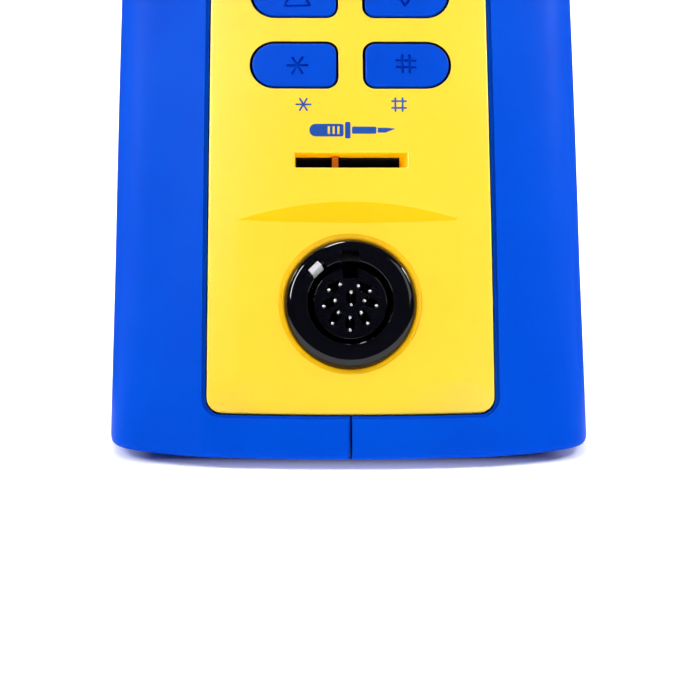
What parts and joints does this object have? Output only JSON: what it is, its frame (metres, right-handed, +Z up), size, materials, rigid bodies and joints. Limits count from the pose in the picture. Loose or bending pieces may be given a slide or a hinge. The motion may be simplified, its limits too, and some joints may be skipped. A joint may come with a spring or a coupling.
{
  "type": "soldering iron station",
  "caption": "Compact leaning control station for a soldering iron with keys, display window, card slot, round multi-way iron socket and rear mains panel.",
  "frame": {"origin": "on the resting plane under the feet, at the centre of the footprint's bounding box", "axes": "+X to the right seen from the front, +Y towards the rear mains panel, +Z up; the control panel faces -Y"},
  "size_m": [0.08, 0.131, 0.13],
  "materials": {
    "shell_blue": "fine moulded grain",
    "panel_yellow": "satin moulded",
    "key_blue": "satin moulded",
    "gloss_black": "polished moulded",
    "matt_black": "fine moulded grain",
    "rubber_black": "matt",
    "smoked_window": "polished, smoked red",
    "steel": "zinc plated",
    "nickel": "nickel plated",
    "core_steel": "varnished laminations",
    "winding_tape": "wrapped polyester tape",
    "board_green": "solder mask",
    "aluminium": "extruded",
    "fuse_glass": "clear glass tube"
  },
  "bodies": {
    "station": {"left_shell": "shell_blue", "right_shell": "shell_blue", "front_panel": "panel_yellow", "rear_plate": "matt_black", "display_window": "smoked_window", "display_module": "matt_black", "control_board": "board_green", "card_reader": "matt_black", "socket_flange": "gloss_black", "socket_insert": "gloss_black", "socket_nut": "steel", "socket_latch": "nickel", "inlet_body": "matt_black", "switch_frame": "matt_black", "fuse_holder": "matt_black", "holder_jack": "gloss_black", "chassis_plate": "steel", "transformer_core": "core_steel", "transformer_winding": "winding_tape", "main_board": "board_green", "capacitor": "matt_black", "buzzer": "gloss_black", "microcontroller": "matt_black", "heat_sink": "aluminium", "triac": "matt_black", "switch_up": "steel", "switch_down": "steel", "switch_star": "steel", "switch_hash": "steel", "contact_1": "nickel", "contact_2": "nickel", "contact_3": "nickel", "contact_4": "nickel", "contact_5": "nickel", "contact_6": "nickel", "contact_7": "nickel", "contact_8": "nickel", "inlet_blade_live": "nickel", "inlet_blade_earth": "nickel", "inlet_blade_neutral": "nickel", "foot_1": "rubber_black", "case_screw_1": "steel", "foot_2": "rubber_black", "case_screw_2": "steel", "foot_3": "rubber_black", "case_screw_3": "steel", "foot_4": "rubber_black", "case_screw_4": "steel"},
    "up_key": {"button_up": "key_blue", "plunger_up": "matt_black"},
    "down_key": {"button_down": "key_blue", "plunger_down": "matt_black"},
    "star_key": {"button_star": "key_blue", "plunger_star": "matt_black"},
    "hash_key": {"button_hash": "key_blue", "plunger_hash": "matt_black"},
    "power_rocker": {"switch_rocker": "gloss_black"},
    "fuse_carrier": {"fuse": "fuse_glass"},
    "fuse_knob": {"fuse_cap": "gloss_black"}
  },
  "joints": [
    {"name": "up_press", "type": "slide", "parent": "station", "child": "up_key", "axis": [0, 0.8966, -0.4428], "range_m": [0, 0.0008], "stiffness_N_per_m": 1500, "springref_m": -0.0002},
    {"name": "down_press", "type": "slide", "parent": "station", "child": "down_key", "axis": [0, 0.8966, -0.4428], "range_m": [0, 0.0008], "stiffness_N_per_m": 1500, "springref_m": -0.0002},
    {"name": "star_press", "type": "slide", "parent": "station", "child": "star_key", "axis": [0, 0.9066, -0.422], "range_m": [0, 0.0008], "stiffness_N_per_m": 1500, "springref_m": -0.0002},
    {"name": "hash_press", "type": "slide", "parent": "station", "child": "hash_key", "axis": [0, 0.9066, -0.422], "range_m": [0, 0.0008], "stiffness_N_per_m": 1500, "springref_m": -0.0002},
    {"name": "power_rocker_tilt", "type": "hinge", "parent": "station", "child": "power_rocker", "pos_m": [-0.009, 0.057, 0.056], "axis": [1, 0, 0], "range_deg": [0, 22]},
    {"name": "fuse_pull", "type": "slide", "parent": "station", "child": "fuse_carrier", "axis": [0, 1, 0], "range_m": [0, 0.026]},
    {"name": "fuse_cap_turn", "type": "hinge", "parent": "fuse_carrier", "child": "fuse_knob", "pos_m": [0.019, 0.06, 0.027], "axis": [0, 1, 0], "range_deg": [0, 60]}
  ]
}
